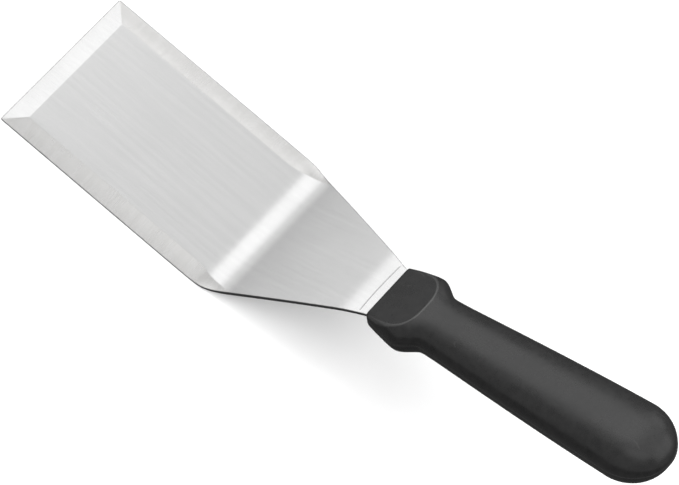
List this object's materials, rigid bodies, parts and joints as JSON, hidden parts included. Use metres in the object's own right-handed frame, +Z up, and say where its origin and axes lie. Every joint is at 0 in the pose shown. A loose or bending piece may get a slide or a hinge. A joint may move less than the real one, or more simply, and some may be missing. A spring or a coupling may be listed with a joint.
{
  "type": "grill spatula",
  "caption": "Offset grill spatula with a wide ground stainless blade, a tapering raised heel and a flared black moulded handle.",
  "frame": {"origin": "middle of the blade's flat underside, on the surface that it rests on", "axes": "-X towards the front edge, +X towards the handle, +Y across the blade, +Z up from the blade's upper face"},
  "size_m": [0.3051, 0.0762, 0.0884],
  "materials": {
    "blade": "brushed stainless, ground edges",
    "handle": "fine matte moulded polypropylene",
    "handle_core": "plain glass-filled polypropylene, hidden"
  },
  "bodies": {
    "root": {"blade": "blade", "handle": "handle", "handle_core": "handle_core"}
  },
  "joints": []
}
